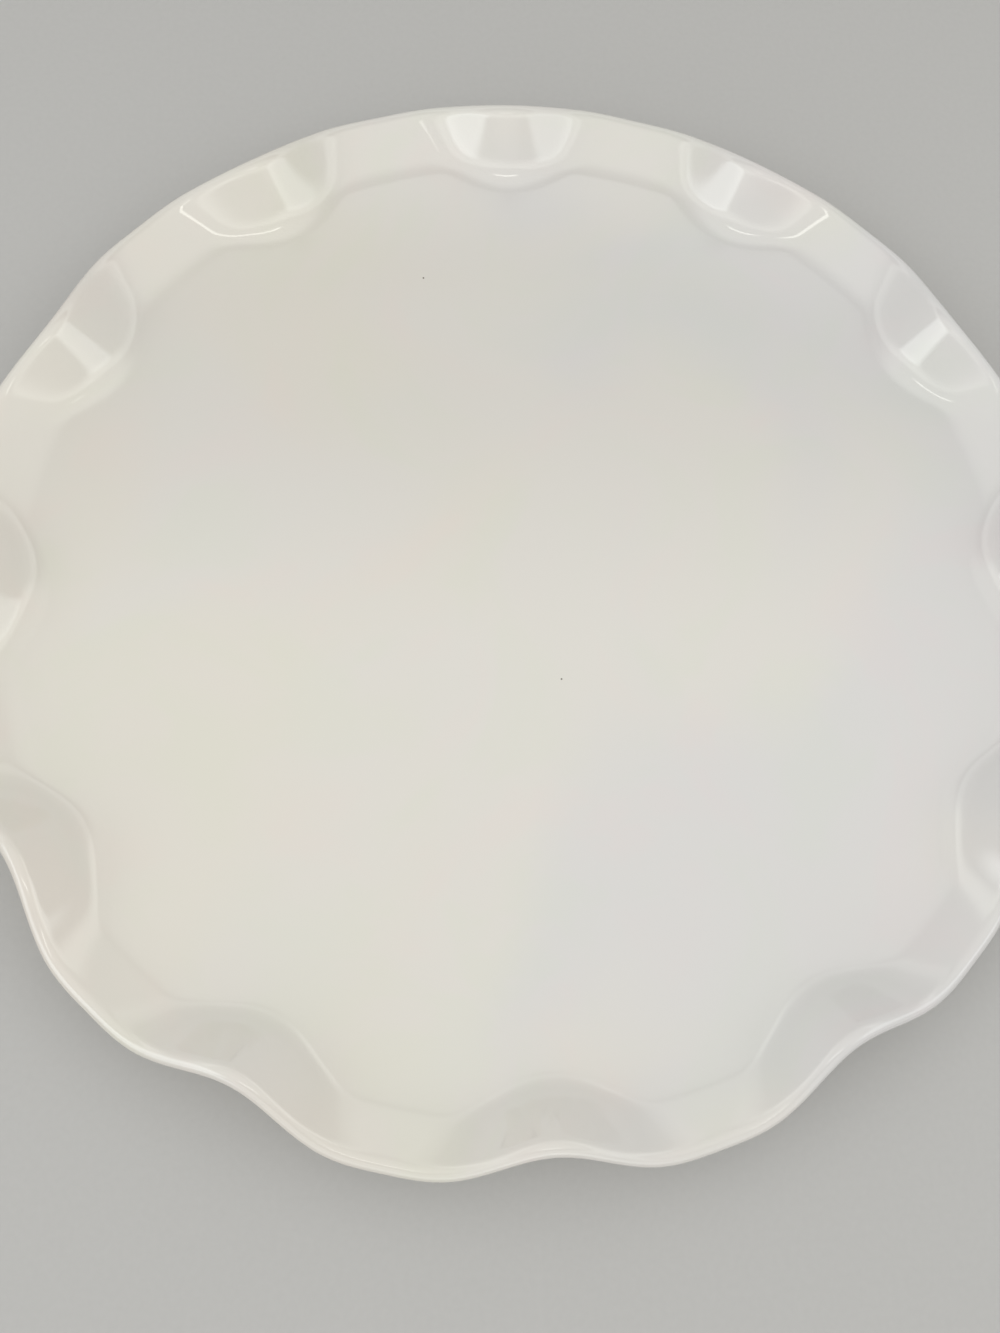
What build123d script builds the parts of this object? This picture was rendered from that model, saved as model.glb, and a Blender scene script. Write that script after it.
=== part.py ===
"""Scalloped dessert plate: a pressed clay body with a ruffled rim, a foot ring and a fired-on glaze.

Frame: millimetres, +Z up, the origin on the table at the middle of the foot. A crest of the rim lies on +Y.

The ruffled rim is one rule. A shallow ramp climbs out of the flat well all round. At the lobes it runs on to
the lip. Between them, at the crests, the lip is pinched in, and a steep wall climbs from the ramp to a taller
lip. The corners of well, ramp and wall are eased, and the lip is half round. Rings drawn through the same place
of every radial section are lofted into one skin, from the well's edge over the lip and back under the plate.
"""

import os
from math import atan, cos, pi, radians, sin, sqrt, tan

from build123d import *

# Plan of the rim
plate_radius = 105.0
ruffle_count = 12
crest_pinch = 5.7
crest_sharpness = 1.75

# Height of the lip's inner edge over the well
lobe_rise = 4.2
crest_rise = 9.0

# Slopes of the ramp, and of the wall from the crests' flanks to their middles
lobe_slope = 26.0
flank_slope = 35.0
crest_slope = 49.0
wall_sharpness = 2.8

# Half the height over which each corner is eased: well to ramp, then ramp to wall
lobe_blend = 0.9
flank_blend = 0.8
crest_blend = 3.2

# Walls, glaze included
lip_thickness = 3.6
well_thickness = 4.6
glaze = 0.3

# Foot ring, hidden under the plate
foot_radius = 65.0
foot_height = 3.0
foot_width = 5.0
foot_draft = 0.6
foot_round = 0.7
bare_height = 0.9

# How finely the rim's rule is drawn
points_per_ruffle = 12
climb_steps = 12
lip_steps = 6

back_z = foot_height
well_z = back_z + well_thickness
clay_back_z = back_z + glaze
lobe_pitch = tan(radians(lobe_slope))
flank_pitch = tan(radians(flank_slope))
crest_pitch = tan(radians(crest_slope))
lobe_edge_r = plate_radius - lip_thickness / 2 * (1 + sin(radians(lobe_slope)))
well_radius = lobe_edge_r - crest_pinch - (crest_rise + crest_blend) / crest_pitch


def between(low, high, share):
    """The value that lies the given share of the way from low to high."""
    return low + (high - low) * share


def merge(low, high, reach):
    """The greater of two heights, with the corner where they cross eased, and the second one's share in it."""
    share = min(1, max(0, 0.5 + (high - low) / (2 * reach)))
    return between(low, high, share) + reach * share * (1 - share), share


class RimSection:
    """The rim's radial section at one bearing round the plate, measured on the glazed face."""

    def __init__(self, bearing):
        swing = (1 + cos(ruffle_count * bearing)) / 2
        pinch = swing**crest_sharpness
        self.bearing = bearing
        self.wall_pitch = between(flank_pitch, crest_pitch, swing**wall_sharpness)
        self.wall_blend = between(flank_blend, crest_blend, pinch)
        self.edge_r = lobe_edge_r - crest_pinch * pinch
        rise = between(lobe_rise, crest_rise, pinch)
        ramp_rise = lobe_rise - crest_pinch * pinch * lobe_pitch
        gain = rise - ramp_rise
        steep = sqrt(min(1, gain / self.wall_blend))
        self.wall_rise = ramp_rise + max(gain, self.wall_blend) - 2 * self.wall_blend * (1 - steep)
        self.slope = atan(between(lobe_pitch, self.wall_pitch, steep))
        self.lip_r = self.edge_r + lip_thickness / 2 * sin(self.slope)
        self.lip_z = well_z + rise - lip_thickness / 2 * cos(self.slope)

    def climb(self, share, depth):
        """A point under the glazed face, at a share of the way from the well's edge to the lip."""
        r = between(well_radius, self.edge_r, share)
        ramp, on_ramp = merge(0, lobe_rise - lobe_pitch * (lobe_edge_r - r), lobe_blend)
        z, on_wall = merge(ramp, self.wall_rise - self.wall_pitch * (self.edge_r - r), self.wall_blend)
        tilt = atan(between(on_ramp * lobe_pitch, self.wall_pitch, on_wall))
        return r + depth * sin(tilt), well_z + z - depth * cos(tilt)

    def lip(self, turn, radius):
        """A point of the half-round lip, turned from its upper side towards its under side."""
        angle = self.slope + pi / 2 - turn
        return self.lip_r + radius * cos(angle), self.lip_z + radius * sin(angle)


def rim_ring(sections, place):
    """The closed ring through the same place of every section."""
    points = []
    for section in sections:
        r, z = place(section)
        points.append((r * sin(section.bearing), r * cos(section.bearing), z))
    with BuildLine() as ring:
        Spline(*points, periodic=True)
    return ring.wire()


def plate_skin(inset):
    """The whole plate without its foot, with every face moved in by the inset."""
    count = ruffle_count * points_per_ruffle
    sections = [RimSection(2 * pi * i / count) for i in range(count)]
    face_rings, lip_rings, back_rings = [], [], []
    for i in range(climb_steps + 1):
        share = i / climb_steps
        depth = between(well_thickness, lip_thickness, share) - inset
        face_rings.append(rim_ring(sections, lambda s: s.climb(share, inset)))
        back_rings.append(rim_ring(sections, lambda s: s.climb(share, depth)))
    for i in range(1, lip_steps):
        turn = pi * i / lip_steps
        lip_rings.append(rim_ring(sections, lambda s: s.lip(turn, lip_thickness / 2 - inset)))
    lip_rings = [face_rings[-1], *lip_rings, back_rings[-1]]
    skins = [Shell.make_loft(rings) for rings in (face_rings, lip_rings, back_rings)]
    faces = [face for skin in skins for face in skin.faces()]
    return Solid(Shell([Face(face_rings[0]), *faces, Face(back_rings[0])]))


def foot_flank(z):
    """How far the foot's sides lean in, from its root under the clay to the height z."""
    return foot_draft * (clay_back_z - z) / clay_back_z


os.makedirs("parts", exist_ok=True)

# Clay body: the pressed plate, bare of glaze
with BuildPart() as plate_body:
    add(plate_skin(glaze))
plate_body.part.label = "plate_body"
export_step(plate_body.part, "parts/plate_body.step")

# Foot ring: a tapered clay ring stuck under the body, with its bearing face left bare
foot_inner_radius = foot_radius - foot_width
with BuildPart() as foot_ring:
    with BuildSketch(Plane.XZ) as foot_profile:
        with BuildLine():
            Polyline(
                (foot_inner_radius, clay_back_z),
                (foot_radius, clay_back_z),
                (foot_radius - foot_draft, 0),
                (foot_inner_radius + foot_draft, 0),
                close=True,
            )
        make_face()
        fillet(foot_profile.vertices().group_by(Axis.Y)[0], foot_round)
    revolve(axis=Axis.Z)
foot_ring.part.label = "foot_ring"
export_step(foot_ring.part, "parts/foot_ring.step")

# Glaze coat: face, lip, back and the foot's outer side
with BuildPart() as glaze_coat:
    add(plate_skin(0))
    with BuildSketch(Plane.XZ):
        with BuildLine():
            Polyline(
                (foot_radius - foot_flank(bare_height), bare_height),
                (foot_radius - foot_flank(bare_height) + glaze, bare_height),
                (foot_radius + glaze, clay_back_z),
                (foot_radius, clay_back_z),
                close=True,
            )
        make_face()
    revolve(axis=Axis.Z)
    add(plate_body.part, mode=Mode.SUBTRACT)
    add(foot_ring.part, mode=Mode.SUBTRACT)
    Cylinder(
        foot_radius - foot_width / 2,
        clay_back_z,
        align=(Align.CENTER, Align.CENTER, Align.MIN),
        mode=Mode.SUBTRACT,
    )
glaze_coat.part.label = "glaze_coat"
export_step(glaze_coat.part, "parts/glaze_coat.step")

# Recess glaze: the shallow dish of glaze inside the foot ring
with BuildPart() as recess_glaze:
    with BuildSketch(Plane.XZ):
        with BuildLine():
            Polyline(
                (0, back_z),
                (foot_inner_radius + foot_flank(back_z) - glaze, back_z),
                (foot_inner_radius + foot_flank(bare_height) - glaze, bare_height),
                (foot_inner_radius + foot_flank(bare_height), bare_height),
                (foot_inner_radius, clay_back_z),
                (0, clay_back_z),
                close=True,
            )
        make_face()
    revolve(axis=Axis.Z)
recess_glaze.part.label = "recess_glaze"
export_step(recess_glaze.part, "parts/recess_glaze.step")

for piece in (plate_body, foot_ring, glaze_coat, recess_glaze):
    print(piece.part.label, "volume", round(piece.part.volume / 1000, 2), "cm3", piece.part.bounding_box())
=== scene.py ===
"""Dresses the scalloped dessert plate: a ruffled, pearl-glazed ceramic plate on a plain studio floor.

Everything is in metres in the part's own frame: the table is z = 0, the middle of the foot is the origin, and
a crest of the rim lies on +Y. A bearing is measured clockwise from +Y, seen from above.
"""

import logging
import math
from dataclasses import dataclass, field
from enum import Enum
from typing import TypeAlias

import bpy
from mathutils import Matrix, Vector


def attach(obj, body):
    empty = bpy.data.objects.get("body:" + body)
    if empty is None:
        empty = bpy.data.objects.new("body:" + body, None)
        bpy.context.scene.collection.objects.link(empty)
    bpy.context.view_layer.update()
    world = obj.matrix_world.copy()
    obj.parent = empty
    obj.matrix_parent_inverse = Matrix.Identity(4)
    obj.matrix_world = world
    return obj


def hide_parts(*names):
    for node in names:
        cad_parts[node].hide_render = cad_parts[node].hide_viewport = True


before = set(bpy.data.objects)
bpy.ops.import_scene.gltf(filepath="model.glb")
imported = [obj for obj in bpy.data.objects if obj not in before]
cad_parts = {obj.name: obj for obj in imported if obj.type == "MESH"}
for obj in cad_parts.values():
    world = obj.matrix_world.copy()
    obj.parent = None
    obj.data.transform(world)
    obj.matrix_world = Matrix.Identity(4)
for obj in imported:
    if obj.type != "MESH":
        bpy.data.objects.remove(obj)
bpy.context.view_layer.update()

MM = 0.001
# The photograph's longer side, in pixels.
PICTURE_HEIGHT = 1333
log = logging.getLogger("dessert_plate")

# A plain number, or one that a node tree works out.
Number: TypeAlias = "float | Field"
# What a colour ramp runs through: the place of each stop, and its colour as #RRGGBB.
Stops: TypeAlias = tuple[tuple[float, str], ...]


def linear(code: str) -> tuple[float, float, float, float]:
    """Turns an sRGB hex colour into linear light.

    Args:
        code: the colour as #RRGGBB.

    Returns:
        Linear red, green, blue and an alpha of 1.
    """
    parts = [int(code[i : i + 2], 16) / 255 for i in (1, 3, 5)]
    light = [p / 12.92 if p <= 0.04045 else ((p + 0.055) / 1.055) ** 2.4 for p in parts]
    return light[0], light[1], light[2], 1.0


def add_node(
    tree: bpy.types.NodeTree,
    kind: str,
    settings: dict[str, object] | None = None,
    inputs: dict[str | int, object] | None = None,
    stops: Stops = (),
) -> bpy.types.Node:
    """Adds one node to a tree.

    Args:
        tree: the tree that gets the node.
        kind: Blender's name for the kind of node.
        settings: properties to set on the node.
        inputs: for an input socket's name or number, a value, or the output socket that feeds it.
        stops: the stops of a colour ramp, in order.

    Returns:
        The new node.
    """
    node = tree.nodes.new(kind)
    for name, value in (settings or {}).items():
        setattr(node, name, value)
    for key, value in (inputs or {}).items():
        if isinstance(value, bpy.types.NodeSocket):
            tree.links.new(value, node.inputs[key])
        else:
            node.inputs[key].default_value = value
    if stops:
        elements = node.color_ramp.elements
        for element, (place, code) in zip(elements, (stops[0], stops[-1])):
            element.position, element.color = place, linear(code)
        for place, code in stops[1:-1]:
            elements.new(place).color = linear(code)
    return node


def start_material(name: str) -> tuple[bpy.types.Material, bpy.types.NodeTree, bpy.types.NodeSocket]:
    """Starts a node material.

    Args:
        name: what the material is.

    Returns:
        The material, its emptied tree, and the place on a piece, which patterns follow.
    """
    made = bpy.data.materials.new(name)
    made.use_nodes = True
    made.node_tree.nodes.clear()
    return made, made.node_tree, add_node(made.node_tree, "ShaderNodeTexCoord").outputs["Object"]


def add_object(name: str, data: bpy.types.ID) -> bpy.types.Object:
    """Puts a mesh, a lamp or a camera into the scene.

    Args:
        name: the object's name.
        data: what it holds.

    Returns:
        The object, at the origin.
    """
    made = bpy.data.objects.new(name, data)
    bpy.context.scene.collection.objects.link(made)
    return made


@dataclass(frozen=True)
class Field:
    """A number that a node tree works out, written as ordinary arithmetic."""

    socket: bpy.types.NodeSocket

    def math(self, operation: str, *others: Number) -> "Field":
        """Puts this number first into a sum of the given kind.

        Args:
            operation: Blender's name for the operation.
            others: the numbers that follow.

        Returns:
            The result.
        """
        inputs = {0: self.socket}
        for place, other in enumerate(others, 1):
            inputs[place] = other.socket if isinstance(other, Field) else other
        node = add_node(self.socket.id_data, "ShaderNodeMath", {"operation": operation}, inputs)
        return Field(node.outputs[0])

    def __add__(self, other: Number) -> "Field":
        """This plus the other."""
        return self.math("ADD", other)

    def __sub__(self, other: Number) -> "Field":
        """This less the other."""
        return self.math("SUBTRACT", other)

    def __rsub__(self, other: float) -> "Field":
        """The other less this."""
        return self.math("MULTIPLY_ADD", -1.0, other)

    def __mul__(self, other: Number) -> "Field":
        """This times the other."""
        return self.math("MULTIPLY", other)

    def __truediv__(self, other: Number) -> "Field":
        """This over the other."""
        return self.math("DIVIDE", other)

    def __rtruediv__(self, other: float) -> "Field":
        """The other over this."""
        return self.math("POWER", -1.0) * other

    def __pow__(self, power: Number) -> "Field":
        """This to a power."""
        return self.math("POWER", power)

    def within(self, low: float, high: float) -> "Field":
        """This, but no lower than low and no higher than high."""
        return self.math("MAXIMUM", low).math("MINIMUM", high)

    __radd__ = __add__
    __rmul__ = __mul__


def between(low: Number, high: Number, share: Number) -> Number:
    """The value that lies the given share of the way from low to high."""
    return low + (high - low) * share


def eased_higher(low: Number, high: Field, reach: Field) -> tuple[Field, Field]:
    """Takes the higher of two heights, with the corner where they cross eased.

    Args:
        low: one height.
        high: the other.
        reach: how far the two differ where the easing begins.

    Returns:
        The height, and the share of the second one in it.
    """
    part = ((high - low) / (reach * 2.0) + 0.5).within(0.0, 1.0)
    return low + (high - low) * part + reach * part * (1.0 - part), part


@dataclass(frozen=True)
class Strip:
    """A stretch of a section that is swept round the plate.

    Attributes:
        rows: how many faces it has along the section.
        r: distance from the axis, along the strip.
        z: height, along the strip.
    """

    rows: int
    r: Number
    z: Number


class Sweep:
    """A Geometry Nodes tree that sweeps the strips of a section round the plate's axis.

    Attributes:
        tree: the node tree.
        values: the value of each of its inputs, by the socket's identifier.
        size: its inputs by name.
        bearing: the bearing of a point of the skin.
        share: how far along its strip the point lies, from 0 to 1.
    """

    def __init__(self, name: str, sizes: dict[str, float]) -> None:
        """Starts a tree with one named input for each size.

        Args:
            name: the tree's name.
            sizes: the value of each input.
        """
        self.tree = bpy.data.node_groups.new(name, "GeometryNodeTree")
        self.tree.interface.new_socket("Geometry", in_out="OUTPUT", socket_type="NodeSocketGeometry")
        self.values: dict[str, float] = {}
        for label, value in sizes.items():
            socket = self.tree.interface.new_socket(label, in_out="INPUT", socket_type="NodeSocketFloat")
            self.values[socket.identifier] = value
        entry = add_node(self.tree, "NodeGroupInput")
        self.size = {label: Field(entry.outputs[label]) for label in sizes}
        place = add_node(self.tree, "GeometryNodeInputPosition")
        part = add_node(self.tree, "ShaderNodeSeparateXYZ", inputs={0: place.outputs[0]})
        self.bearing = (Field(part.outputs[0]) + 0.5) * math.tau
        self.share = Field(part.outputs[1]) + 0.5

    def point(self, r: Number, z: Number) -> bpy.types.NodeSocket:
        """Finds a place at this bearing.

        Args:
            r: its distance from the axis.
            z: its height.

        Returns:
            The place.
        """
        axes = (self.bearing.math("SINE") * r, self.bearing.math("COSINE") * r, z)
        inputs = {i: axis.socket if isinstance(axis, Field) else axis for i, axis in enumerate(axes)}
        return add_node(self.tree, "ShaderNodeCombineXYZ", inputs=inputs).outputs[0]

    def close(self, strips: list[Strip], bearings: int, material: bpy.types.Material) -> None:
        """Sweeps the strips, welds them into one closed skin and gives it its material.

        Args:
            strips: the section, in order, with the outside on the left of its path.
            bearings: how many faces go round.
            material: what the skin is made of.
        """
        weld = 0.002 * MM
        crease = math.radians(50)
        joined = add_node(self.tree, "GeometryNodeJoinGeometry")
        for strip in strips:
            grid = add_node(
                self.tree,
                "GeometryNodeMeshGrid",
                inputs={
                    "Size X": 1.0,
                    "Size Y": 1.0,
                    "Vertices X": bearings + 1,
                    "Vertices Y": strip.rows + 1,
                },
            )
            placed = add_node(
                self.tree,
                "GeometryNodeSetPosition",
                inputs={"Geometry": grid.outputs["Mesh"], "Position": self.point(strip.r, strip.z)},
            )
            self.tree.links.new(placed.outputs[0], joined.inputs[0])
        welded = add_node(
            self.tree,
            "GeometryNodeMergeByDistance",
            inputs={0: joined.outputs[0], "Distance": weld},
        )
        smooth = add_node(
            self.tree,
            "GeometryNodeSetShadeSmooth",
            inputs={0: welded.outputs[0], "Shade Smooth": True},
        )
        angle = add_node(self.tree, "GeometryNodeInputMeshEdgeAngle")
        sharp = Field(angle.outputs[0]).math("GREATER_THAN", crease)
        creased = add_node(
            self.tree,
            "GeometryNodeSetShadeSmooth",
            {"domain": "EDGE"},
            {0: smooth.outputs[0], "Selection": sharp.socket, "Shade Smooth": False},
        )
        whole = add_node(self.tree, "GeometryNodeRealizeInstances", inputs={0: creased.outputs[0]})
        dressed = add_node(
            self.tree, "GeometryNodeSetMaterial", inputs={0: whole.outputs[0], "Material": material}
        )
        add_node(self.tree, "NodeGroupOutput", inputs={0: dressed.outputs[0]})

    def mesh_object(self, name: str) -> bpy.types.Object:
        """Runs the tree with its sizes and keeps the result as a plain mesh.

        Args:
            name: the piece's name.

        Returns:
            The piece, at the origin, with its place in its mesh.
        """
        piece = add_object(name, bpy.data.meshes.new(name))
        modifier = piece.modifiers.new("Sweep", "NODES")
        modifier.node_group = self.tree
        for identifier, value in self.values.items():
            modifier[identifier] = value
        graph = bpy.context.evaluated_depsgraph_get()
        mesh = bpy.data.meshes.new_from_object(piece.evaluated_get(graph))
        piece.modifiers.remove(modifier)
        piece.data = mesh
        mesh.name = name
        return piece


@dataclass(frozen=True)
class PearlGlaze:
    """White tin glaze, dipped and fired glossy, under a thin pearl lustre.

    It gives the eye a warm white that mirrors the lights sharply. The lustre film tints it in wide, faint
    clouds with a mottle of rose and olive. Across them runs a painted tint of cooler light, from straw on the
    left to lavender on the right.
    A few dark specks of iron stand in it.
    """

    straw: str = "#DCD6C9"
    cream: str = "#DAD6CF"
    lavender: str = "#D1D0D2"
    rose: str = "#DDD4CE"
    olive: str = "#D7D7CB"
    iron: str = "#4A3A2C"
    # How far across the plate the painted tint of cooler light runs, from the straw side to the lavender
    # side.
    side_light_tint_span: float = 340 * MM
    cloud_size: float = 75 * MM
    blotch_size: float = 42 * MM
    mottle_share: float = 0.45
    peel_size: float = 2.6 * MM
    peel_depth: float = 0.05 * MM
    peel_strength: float = 0.05
    speck_spacing: float = 21 * MM
    speck_radius: float = 0.28 * MM
    speck_core: float = 0.6
    roughness: float = 0.03
    roughness_swing: tuple[float, float] = (0.8, 1.3)
    glass_ior: float = 1.55
    lustre_ior: float = 1.75
    lustre_nanometres: float = 80.0

    def material(self) -> bpy.types.Material:
        """Builds the glaze as a node material.

        Returns:
            The material.
        """
        made, tree, place = start_material("pearl_lustre_glaze")
        blotches = add_node(
            tree,
            "ShaderNodeTexNoise",
            {"noise_dimensions": "3D"},
            {
                "Vector": place,
                "Scale": 1 / self.blotch_size,
                "Detail": 3.0,
                "Roughness": 0.55,
                "Distortion": 1.4,
            },
        ).outputs["Fac"]
        peel = add_node(
            tree,
            "ShaderNodeTexNoise",
            {"noise_dimensions": "3D"},
            {"Vector": place, "Scale": 1 / self.peel_size, "Detail": 1.0, "Roughness": 0.4},
        )
        skin = add_node(
            tree,
            "ShaderNodeBump",
            inputs={
                "Strength": self.peel_strength,
                "Distance": self.peel_depth,
                "Height": peel.outputs["Fac"],
            },
        )
        smoothest, roughest = (self.roughness * swing for swing in self.roughness_swing)
        gloss = add_node(tree, "ShaderNodeMapRange", inputs={"Value": blotches, 3: smoothest, 4: roughest})
        surface = add_node(
            tree,
            "ShaderNodeBsdfPrincipled",
            inputs={
                "Base Color": self.specked(tree, place, self.lustre_and_side_light_colour(tree, place, blotches)),
                "Roughness": gloss.outputs[0],
                "IOR": self.glass_ior,
                "Thin Film Thickness": self.lustre_nanometres,
                "Thin Film IOR": self.lustre_ior,
                "Normal": skin.outputs[0],
            },
        )
        add_node(tree, "ShaderNodeOutputMaterial", inputs={"Surface": surface.outputs[0]})
        return made

    def lustre_and_side_light_colour(
        self, tree: bpy.types.NodeTree, place: bpy.types.NodeSocket, blotches: bpy.types.NodeSocket
    ) -> bpy.types.NodeSocket:
        """Works out the white with its lustre clouds, its mottle and a painted tint of cooler light towards
        the right.

        Args:
            tree: the glaze's tree.
            place: the place on the piece.
            blotches: the noise that the mottle follows.

        Returns:
            The colour.
        """
        clouds = add_node(
            tree,
            "ShaderNodeTexNoise",
            {"noise_dimensions": "3D"},
            {
                "Vector": place,
                "Scale": 1 / self.cloud_size,
                "Detail": 2.0,
                "Roughness": 0.45,
                "Distortion": 0.6,
            },
        )
        across = add_node(tree, "ShaderNodeSeparateXYZ", inputs={0: place})
        # Painted light: the colour runs from straw on the left to lavender on the right, standing for cooler
        # light on that side; the cloud noise added to it is the lustre's own tint.
        lustre_and_side_light_tint = Field(across.outputs[0]) / self.side_light_tint_span + Field(clouds.outputs["Fac"])
        tint = add_node(
            tree,
            "ShaderNodeValToRGB",
            inputs={0: lustre_and_side_light_tint.socket},
            stops=((0.28, self.straw), (0.50, self.cream), (0.71, self.lavender)),
        )
        mottle = add_node(
            tree,
            "ShaderNodeValToRGB",
            inputs={0: blotches},
            stops=((0.36, self.olive), (0.51, self.cream), (0.66, self.rose)),
        )
        for ramp in (tint, mottle):
            ramp.color_ramp.interpolation = "EASE"
        mixed = add_node(
            tree,
            "ShaderNodeMix",
            {"data_type": "RGBA"},
            {0: self.mottle_share, 6: tint.outputs[0], 7: mottle.outputs[0]},
        )
        return mixed.outputs[2]

    def specked(
        self, tree: bpy.types.NodeTree, place: bpy.types.NodeSocket, white: bpy.types.NodeSocket
    ) -> bpy.types.NodeSocket:
        """Puts the specks of iron into the white.

        Args:
            tree: the glaze's tree.
            place: the place on the piece.
            white: the colour between the specks.

        Returns:
            The colour.
        """
        cells = add_node(
            tree,
            "ShaderNodeTexVoronoi",
            {"voronoi_dimensions": "3D", "feature": "F1"},
            {"Vector": place, "Scale": 1 / self.speck_spacing, "Randomness": 1.0},
        )
        reach = self.speck_radius / self.speck_spacing
        speck = add_node(
            tree,
            "ShaderNodeMapRange",
            {"interpolation_type": "SMOOTHSTEP"},
            {"Value": cells.outputs["Distance"], 1: reach * self.speck_core, 2: reach, 3: 1.0, 4: 0.0},
        )
        mixed = add_node(
            tree,
            "ShaderNodeMix",
            {"data_type": "RGBA"},
            {0: speck.outputs[0], 6: white, 7: linear(self.iron)},
        )
        return mixed.outputs[2]


@dataclass(frozen=True)
class BareClay:
    """White stoneware clay, fired with no glaze and wiped clean.

    It gives the eye a dry, warm, sandy face with fine grog in it.
    """

    pale: str = "#D9CDB8"
    sandy: str = "#BCA98C"
    grit_size: float = 0.7 * MM
    grit_depth: float = 0.08 * MM
    grit_strength: float = 0.4
    roughness: float = 0.85

    def material(self) -> bpy.types.Material:
        """Builds the clay as a node material.

        Returns:
            The material.
        """
        made, tree, place = start_material("bare_fired_clay")
        grit = add_node(
            tree,
            "ShaderNodeTexNoise",
            inputs={"Vector": place, "Scale": 1 / self.grit_size, "Detail": 4.0, "Roughness": 0.6},
        )
        colour = add_node(
            tree,
            "ShaderNodeValToRGB",
            inputs={0: grit.outputs["Fac"]},
            stops=((0.32, self.sandy), (0.58, self.pale)),
        )
        grain = add_node(
            tree,
            "ShaderNodeBump",
            inputs={
                "Strength": self.grit_strength,
                "Distance": self.grit_depth,
                "Height": grit.outputs["Fac"],
            },
        )
        surface = add_node(
            tree,
            "ShaderNodeBsdfPrincipled",
            inputs={
                "Base Color": colour.outputs[0],
                "Roughness": self.roughness,
                "Normal": grain.outputs[0],
            },
        )
        add_node(tree, "ShaderNodeOutputMaterial", inputs={"Surface": surface.outputs[0]})
        return made


@dataclass(frozen=True)
class FloorPaper:
    """Plain pale background paper: matt, with a tooth too faint to draw the eye."""

    shade: str = "#BEBDBA"
    deep: str = "#B9B8B5"
    tooth_size: float = 1.2 * MM
    roughness: float = 0.9

    def material(self) -> bpy.types.Material:
        """Builds the paper as a node material.

        Returns:
            The material.
        """
        made, tree, place = start_material("background_paper")
        tooth = add_node(
            tree, "ShaderNodeTexNoise", inputs={"Vector": place, "Scale": 1 / self.tooth_size, "Detail": 2.0}
        )
        colour = add_node(
            tree,
            "ShaderNodeMix",
            {"data_type": "RGBA"},
            {0: tooth.outputs["Fac"], 6: linear(self.deep), 7: linear(self.shade)},
        )
        surface = add_node(
            tree,
            "ShaderNodeBsdfPrincipled",
            inputs={"Base Color": colour.outputs[2], "Roughness": self.roughness},
        )
        add_node(tree, "ShaderNodeOutputMaterial", inputs={"Surface": surface.outputs[0]})
        return made


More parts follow.
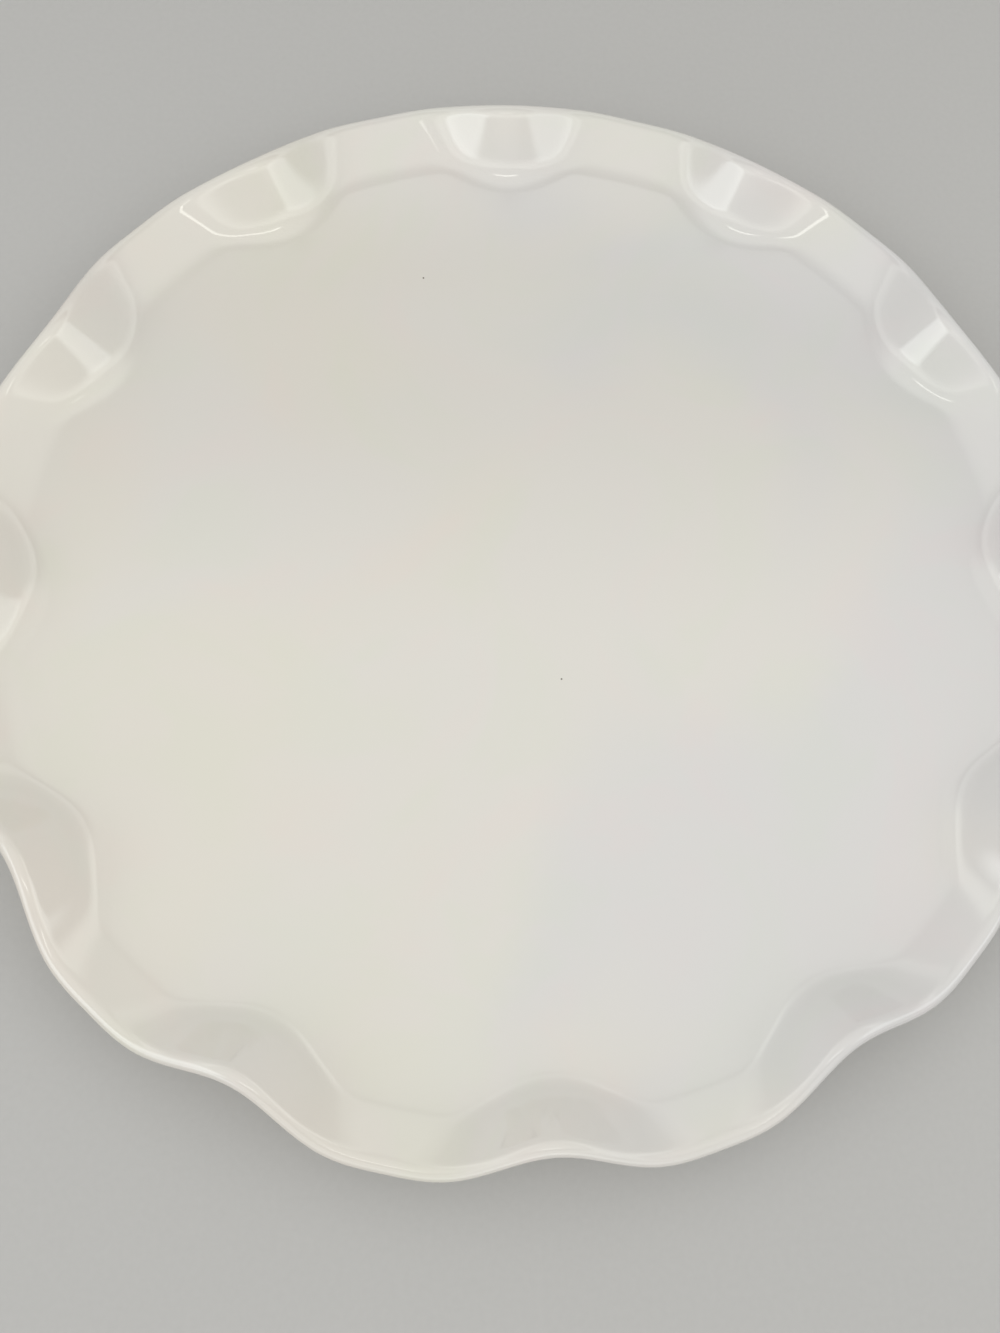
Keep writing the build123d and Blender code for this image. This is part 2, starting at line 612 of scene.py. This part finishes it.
class RimRule:
    """The rule that the plate's section follows at every bearing.

    A shallow ramp climbs from the flat well to the lip of the lobes, and at the crests a steep wall stands on
    it. The corners where the ramp leaves the well and where the wall leaves the ramp are eased. The lip is
    half round.

    Attributes:
        sweep: the tree that carries the section round.
        size: the plate's sizes, by name.
        half_lip: half the lip's thickness.
        well_r: where the flat well ends.
        well_z: the height of the well's face.
        lobe_pitch: how steeply the ramp climbs.
        wall_pitch: how steeply the wall climbs at this bearing.
        wall_blend: how far its corner is eased there.
        lobe_edge_r: where the face meets the lip at a lobe.
        edge_r: where the face meets the lip at this bearing.
        wall_top: how high over the well the wall ends there, before its corner is eased.
        slope: the face's angle where it meets the lip.
        lip_r: how far the middle of the lip's half round lies from the axis.
        lip_z: the height of that middle.
    """

    def __init__(self, sweep: Sweep) -> None:
        """Works out what the section's stretches share.

        Args:
            sweep: the tree that carries the section round, with the plate's sizes as its inputs.
        """
        size = sweep.size
        swing = (((sweep.bearing * size["Ruffles"]).math("COSINE") + 1.0) * 0.5).math("MAXIMUM", 0.0)
        pinch = swing ** size["Crest Sharpness"]
        upright = swing ** size["Wall Sharpness"]
        flank_pitch, crest_pitch = (size[part].math("TANGENT") for part in ("Flank Slope", "Crest Slope"))
        self.sweep = sweep
        self.size = size
        self.half_lip = size["Lip Thickness"] * 0.5
        self.well_r = size["Well Radius"]
        self.well_z = size["Back Height"] + size["Well Thickness"]
        self.lobe_pitch = size["Lobe Slope"].math("TANGENT")
        self.wall_pitch = between(flank_pitch, crest_pitch, upright)
        self.wall_blend = between(size["Flank Blend"], size["Crest Blend"], pinch)
        self.lobe_edge_r = size["Plate Radius"] - self.half_lip * (size["Lobe Slope"].math("SINE") + 1.0)
        self.edge_r = self.lobe_edge_r - size["Crest Pinch"] * pinch
        under = size["Lobe Rise"] - size["Crest Pinch"] * pinch * self.lobe_pitch
        gain = between(size["Lobe Rise"], size["Crest Rise"], pinch) - under
        steep = (gain / self.wall_blend).within(0.0, 1.0).math("SQRT")
        stand = gain.math("MAXIMUM", self.wall_blend) + (steep - 1.0) * self.wall_blend * 2.0
        self.wall_top = under + stand
        self.slope = between(self.lobe_pitch, self.wall_pitch, steep).math("ARCTANGENT")
        self.lip_r = self.edge_r + self.half_lip * self.slope.math("SINE")
        self.lip_z = self.well_z + under + gain - self.half_lip * self.slope.math("COSINE")

    def climb(self, along: Field, depth: Number) -> tuple[Field, Field]:
        """Finds a point under the rim's face.

        Args:
            along: the share of the way from the well's edge to the lip.
            depth: how far the point lies below the face, square to it.

        Returns:
            The point's distance from the axis and its height.
        """
        r = between(self.well_r, self.edge_r, along)
        ramp_z = self.size["Lobe Rise"] - self.lobe_pitch * (self.lobe_edge_r - r)
        wall_z = self.wall_top - self.wall_pitch * (self.edge_r - r)
        ramp, on_ramp = eased_higher(0.0, ramp_z, self.size["Lobe Blend"])
        z, on_wall = eased_higher(ramp, wall_z, self.wall_blend)
        pitch = between(on_ramp * self.lobe_pitch, self.wall_pitch, on_wall)
        run = (pitch * pitch + 1.0).math("SQRT")
        return r + depth * (pitch / run), self.well_z + z - depth * (1.0 / run)

    def lip(self, turn: Field, radius: Number) -> tuple[Field, Field]:
        """A point of the half-round lip, turned from its upper side towards its under side."""
        angle = self.slope + math.pi / 2 - turn
        return self.lip_r + radius * angle.math("COSINE"), self.lip_z + radius * angle.math("SINE")

    def thickness(self, along: Field) -> Field:
        """The plate's thickness at a share of the climb."""
        return between(self.size["Well Thickness"], self.size["Lip Thickness"], along)

    def waver(self, r: Field, fade: Number) -> Field:
        """Works out the glaze's slow unevenness, which bends what the well mirrors.

        Args:
            r: the distance from the axis.
            fade: how much of the unevenness is left there.

        Returns:
            The height that it adds.
        """
        tree = self.sweep.tree
        length = self.size["Waver Length"].socket
        lengths = add_node(tree, "ShaderNodeCombineXYZ", inputs={axis: length for axis in range(3)})
        place = add_node(
            tree,
            "ShaderNodeVectorMath",
            {"operation": "DIVIDE"},
            {0: self.sweep.point(r, 0.0), 1: lengths.outputs[0]},
        )
        noise = add_node(
            tree,
            "ShaderNodeTexNoise",
            {"noise_dimensions": "4D"},
            {"Vector": place.outputs[0], "W": self.size["Waver Seed"].socket, "Scale": 1.0, "Detail": 1.0},
        )
        return (Field(noise.outputs[0]) - 0.5) * 2.0 * self.size["Waver"] * fade


@dataclass
class FootSizes:
    """Sizes of the foot ring and of the glaze about it."""

    radius: float = 65.0 * MM
    height: float = 3.0 * MM
    draft: float = 0.6 * MM
    bare_height: float = 0.9 * MM
    glaze: float = 0.3 * MM
    pool: float = 0.8 * MM

    @property
    def root(self) -> float:
        """Height of the clay that the ring is stuck to."""
        return self.height + self.glaze

    def lean(self, z: float) -> float:
        """How far the ring's sides have leaned in at a height."""
        return self.draft * (self.root - z) / self.root


@dataclass
class GlazedPlate:
    """The ruffled plate as it is seen: the glaze over its face, lip, back and the foot's outer side."""

    plate_radius: float = 105.0 * MM
    ruffle_count: int = 12
    crest_pinch: float = 5.7 * MM
    crest_sharpness: float = 1.75
    lobe_rise: float = 4.2 * MM
    crest_rise: float = 9.0 * MM
    lobe_slope: float = math.radians(26)
    flank_slope: float = math.radians(35)
    crest_slope: float = math.radians(49)
    wall_sharpness: float = 2.8
    lobe_blend: float = 0.9 * MM
    flank_blend: float = 0.8 * MM
    crest_blend: float = 3.2 * MM
    lip_thickness: float = 3.6 * MM
    well_thickness: float = 4.6 * MM
    waver: float = 0.10 * MM
    waver_length: float = 55 * MM
    waver_seed: float = 4.0
    faces_per_ruffle: int = 40
    foot: FootSizes = field(default_factory=FootSizes)

    @property
    def well_radius(self) -> float:
        """How far out the well stays flat: to where the crests' walls begin."""
        edge = self.plate_radius - self.lip_thickness / 2 * (1 + math.sin(self.lobe_slope)) - self.crest_pinch
        return edge - (self.crest_rise + self.crest_blend) / math.tan(self.crest_slope)

    def sizes(self) -> dict[str, float]:
        """Lists the named inputs of the plate's tree.

        Returns:
            The value of each input, by its name.
        """
        return {
            "Plate Radius": self.plate_radius,
            "Ruffles": float(self.ruffle_count),
            "Crest Pinch": self.crest_pinch,
            "Crest Sharpness": self.crest_sharpness,
            "Lobe Rise": self.lobe_rise,
            "Crest Rise": self.crest_rise,
            "Lobe Slope": self.lobe_slope,
            "Flank Slope": self.flank_slope,
            "Crest Slope": self.crest_slope,
            "Wall Sharpness": self.wall_sharpness,
            "Lobe Blend": self.lobe_blend,
            "Flank Blend": self.flank_blend,
            "Crest Blend": self.crest_blend,
            "Well Radius": self.well_radius,
            "Lip Thickness": self.lip_thickness,
            "Well Thickness": self.well_thickness,
            "Glaze": self.foot.glaze,
            "Back Height": self.foot.height,
            "Waver": self.waver,
            "Waver Length": self.waver_length,
            "Waver Seed": self.waver_seed,
        }

    def section(self, sweep: Sweep) -> list[Strip]:
        """Lays out the section: the face out to the lip, the back in to the foot, and the glaze's inside.

        Args:
            sweep: the tree that carries the section round.

        Returns:
            The section's strips in order.
        """
        rule = RimRule(sweep)
        foot = self.foot
        glaze = sweep.size["Glaze"]
        share = sweep.share
        back = 1.0 - share
        well_r = rule.well_r * share
        face_r, face_z = rule.climb(share, 0.0)
        pool_r = foot.radius - foot.lean(foot.height) + foot.glaze + foot.pool
        pool_z = foot.height - foot.pool
        pool_turn = share * (math.pi / 2)
        line_r = foot.radius - foot.lean(foot.bare_height)
        return [
            # The face: the well, the climb to the lip and the lip itself.
            Strip(16, well_r, rule.well_z + rule.waver(well_r, 1.0)),
            Strip(28, face_r, face_z + rule.waver(face_r, back * back)),
            Strip(14, *rule.lip(share * math.pi, rule.half_lip)),
            # The back: the climb down, the flat about the foot, the pooled glaze and the foot's outer side.
            Strip(20, *rule.climb(back, rule.thickness(back))),
            Strip(4, between(rule.well_r, pool_r, share), foot.height),
            Strip(
                6,
                pool_r - pool_turn.math("SINE") * foot.pool,
                pool_z + pool_turn.math("COSINE") * foot.pool,
            ),
            Strip(
                3,
                between(pool_r - foot.pool, line_r + foot.glaze, share),
                between(pool_z, foot.bare_height, share),
            ),
            # The glaze's edge on the foot, and its inside, which lies against the clay.
            Strip(1, between(line_r + foot.glaze, line_r, share), foot.bare_height),
            Strip(2, between(line_r, foot.radius, share), between(foot.bare_height, foot.root, share)),
            Strip(2, between(foot.radius, rule.well_r, share), foot.root),
            Strip(10, *rule.climb(share, rule.thickness(share) - glaze)),
            Strip(6, *rule.lip(back * math.pi, rule.half_lip - glaze)),
            Strip(12, *rule.climb(back, glaze)),
            Strip(2, rule.well_r * back, rule.well_z - glaze),
        ]

    def build(self, material: bpy.types.Material) -> bpy.types.Object:
        """Makes the glazed plate.

        Args:
            material: the glaze.

        Returns:
            The piece that stands for the glaze coat.
        """
        sweep = Sweep("ruffled_plate", self.sizes())
        sweep.close(self.section(sweep), self.ruffle_count * self.faces_per_ruffle, material)
        piece = sweep.mesh_object("glazed_plate")
        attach(piece, "root")
        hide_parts("glaze_coat")
        return piece


class PlateNode(Enum):
    """The CAD nodes that keep their shape and get a better finish."""

    BODY = "plate_body"
    FOOT = "foot_ring"
    RECESS = "recess_glaze"


@dataclass
class Underside:
    """The foot ring, the clay above it and the glaze inside it, kept as the CAD made them."""

    def dress(self, clay: bpy.types.Material, glaze: bpy.types.Material) -> list[bpy.types.Object]:
        """Gives each node its finish.

        Args:
            clay: for the body and the foot.
            glaze: for the recess.

        Returns:
            The nodes.
        """
        finishes = {PlateNode.BODY: clay, PlateNode.FOOT: clay, PlateNode.RECESS: glaze}
        nodes = []
        for node, material in finishes.items():
            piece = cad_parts[node.value]
            piece.data.materials.clear()
            piece.data.materials.append(material)
            nodes.append(piece)
        return nodes


@dataclass(frozen=True)
class SoftBox:
    """A lamp with a cloth front, bright in the middle and fading out at its rim.

    Attributes:
        name: the lamp's name.
        place: where its middle is.
        width: its size from left to right.
        length: its size the other way.
        radiance: how bright its middle is, where 1 is white.
        plateau: how far out from the middle it stays bright, as a share of the way to the rim.
        aim: the point that it faces.
        shade: its colour.
        corner: how far its bright middle's corners are rounded, as a share of the way to the rim.
    """

    name: str
    place: tuple[float, float, float]
    width: float
    length: float
    radiance: float
    plateau: float = 0.0
    aim: tuple[float, float, float] = (0.0, 0.0, 0.0)
    shade: str = "#FFFFFF"
    corner: float = 0.4

    def hang(self) -> bpy.types.Object:
        """Hangs the lamp so that it faces its aim.

        Returns:
            The lamp.
        """
        lamp = bpy.data.lights.new(self.name, "AREA")
        lamp.shape = "RECTANGLE"
        lamp.size, lamp.size_y = self.width, self.length
        lamp.color = linear(self.shade)[:3]
        lamp.energy = self.radiance * math.pi * self.width * self.length
        lamp.use_nodes = True
        tree = lamp.node_tree
        tree.nodes.clear()
        front = add_node(tree, "ShaderNodeNewGeometry").outputs["Parametric"]
        across = add_node(tree, "ShaderNodeSeparateXYZ", inputs={0: front})
        reach = [(Field(across.outputs[axis]) - 0.5).math("ABSOLUTE") * 2.0 for axis in (0, 1)]
        out = reach[0].math("SMOOTH_MAX", reach[1], self.corner)
        fade = add_node(
            tree,
            "ShaderNodeMapRange",
            {"interpolation_type": "SMOOTHSTEP"},
            {"Value": out.socket, 1: self.plateau, 2: 1.0, 3: 1.0, 4: 0.0},
        )
        glow = add_node(tree, "ShaderNodeEmission", inputs={"Strength": fade.outputs[0]})
        add_node(tree, "ShaderNodeOutputLight", inputs={"Surface": glow.outputs[0]})
        holder = add_object(self.name, lamp)
        place = Vector(self.place)
        facing = (Vector(self.aim) - place).to_track_quat("-Z", "Y")
        holder.matrix_world = Matrix.Translation(place) @ facing.to_matrix().to_4x4()
        return holder


@dataclass
class Studio:
    """A plain paper floor, soft lamps overhead, at both sides and behind the camera, and a pale room.

    Attributes:
        floor_size: how wide the floor is.
        shades: the room's shade at rising heights, from level (0) to straight up (1).
        boxes: the lamps.
    """

    floor_size: float = 24.0
    shades: Stops = (
        (0.00, "#EBEAE8"),
        (0.30, "#D9D9D7"),
        (0.52, "#DEDEDC"),
        (0.66, "#FFFFFE"),
        (0.72, "#FFFFFE"),
        (0.79, "#ADADAB"),
    )
    boxes: tuple[SoftBox, ...] = (
        SoftBox("overhead_softbox", (0.0, -0.04, 0.30), 0.9, 0.54, 0.56, plateau=0.4, aim=(0.0, -0.04, 0.0)),
        SoftBox("left_window", (-1.20, -0.41, 0.80), 1.25, 0.60, 1.3, plateau=0.6, shade="#F4F8FF"),
        SoftBox("left_sill", (-1.10, -0.92, 0.40), 1.10, 0.36, 1.4, plateau=0.4, shade="#F4F8FF"),
        SoftBox("right_window", (1.20, -0.41, 0.80), 1.25, 0.60, 0.9, plateau=0.6, shade="#F4F8FF"),
        SoftBox("ceiling_tube", (-0.06, -0.58, 1.50), 0.92, 0.14, 1.9, plateau=0.5),
        SoftBox("rear_panel", (0.0, -1.40, 0.36), 2.0, 0.8, 0.95),
    )

    def floor(self, material: bpy.types.Material) -> bpy.types.Object:
        """Lays the floor.

        Args:
            material: the paper.

        Returns:
            The floor.
        """
        half = self.floor_size / 2
        corners = [(-half, -half, 0), (half, -half, 0), (half, half, 0), (-half, half, 0)]
        mesh = bpy.data.meshes.new("studio_floor")
        mesh.from_pydata(corners, [], [(0, 1, 2, 3)])
        mesh.materials.append(material)
        floor = add_object("studio_floor", mesh)
        return floor

    def room(self) -> None:
        """Makes the room about the plate, palest where its walls meet the ceiling."""
        world = bpy.data.worlds.new("studio_room")
        bpy.context.scene.world = world
        world.use_nodes = True
        tree = world.node_tree
        tree.nodes.clear()
        facing = add_node(tree, "ShaderNodeTexCoord").outputs["Generated"]
        height = add_node(tree, "ShaderNodeSeparateXYZ", inputs={0: facing})
        shade = add_node(tree, "ShaderNodeValToRGB", inputs={0: height.outputs[2]}, stops=self.shades)
        shade.color_ramp.interpolation = "EASE"
        glow = add_node(tree, "ShaderNodeBackground", inputs={"Color": shade.outputs[0]})
        add_node(tree, "ShaderNodeOutputWorld", inputs={"Surface": glow.outputs[0]})


@dataclass
class PhotoCamera:
    """A hand-held camera above the near half of the plate.

    Attributes:
        focal_pixels: the focal length, in pixels of the picture.
        place: where it is, to the right of, ahead of and above the middle of the plate, as it faces it.
        heading: which way it faces, turned anticlockwise from +Y.
        tilt: how far it leans from straight down.
        roll: how far it is turned about its own axis.
        centre: where its axis meets the picture, in pixels right of and below the middle.
        sensor: its sensor's longer side, in millimetres.
        sight: how near and how far it sees.
    """

    focal_pixels: float = 1000.0
    place: tuple[float, float, float] = (14.2 * MM, -69.4 * MM, 183.8 * MM)
    heading: float = -0.3136
    tilt: float = 0.2627
    roll: float = 0.2698
    centre: tuple[float, float] = (70.0, 40.0)
    sensor: float = 36.0
    sight: tuple[float, float] = (0.01, 50.0)

    def set_up(self) -> bpy.types.Object:
        """Sets the camera up.

        Returns:
            The camera.
        """
        lens = bpy.data.cameras.new("photo_camera")
        lens.sensor_width = self.sensor
        lens.lens = self.sensor * self.focal_pixels / PICTURE_HEIGHT
        lens.shift_x = -self.centre[0] / PICTURE_HEIGHT
        lens.shift_y = self.centre[1] / PICTURE_HEIGHT
        lens.clip_start, lens.clip_end = self.sight
        camera = add_object("photo_camera", lens)
        facing = Matrix.Rotation(self.heading, 4, "Z")
        lean = Matrix.Rotation(self.tilt, 4, "X") @ Matrix.Rotation(self.roll, 4, "Z")
        camera.matrix_world = facing @ Matrix.Translation(self.place) @ lean
        bpy.context.scene.camera = camera
        return camera


def main() -> None:
    """Builds the plate, dresses it and sets the studio."""
    logging.basicConfig(level=logging.INFO, format="%(name)s: %(message)s")
    glaze = PearlGlaze().material()
    clay = BareClay().material()
    plate = GlazedPlate().build(glaze)
    log.info("%s: %d faces", plate.name, len(plate.data.polygons))
    for piece in Underside().dress(clay, glaze):
        log.info("%s: %s", piece.name, piece.data.materials[0].name)
    studio = Studio()
    log.info("%s laid", studio.floor(FloorPaper().material()).name)
    for box in studio.boxes:
        log.info("%s hung", box.hang().name)
    studio.room()
    camera = PhotoCamera().set_up()
    log.info("%s: %.1f mm lens", camera.name, camera.data.lens)
    bpy.context.scene.view_settings.view_transform = "Standard"


if __name__ == "__main__":
    main()
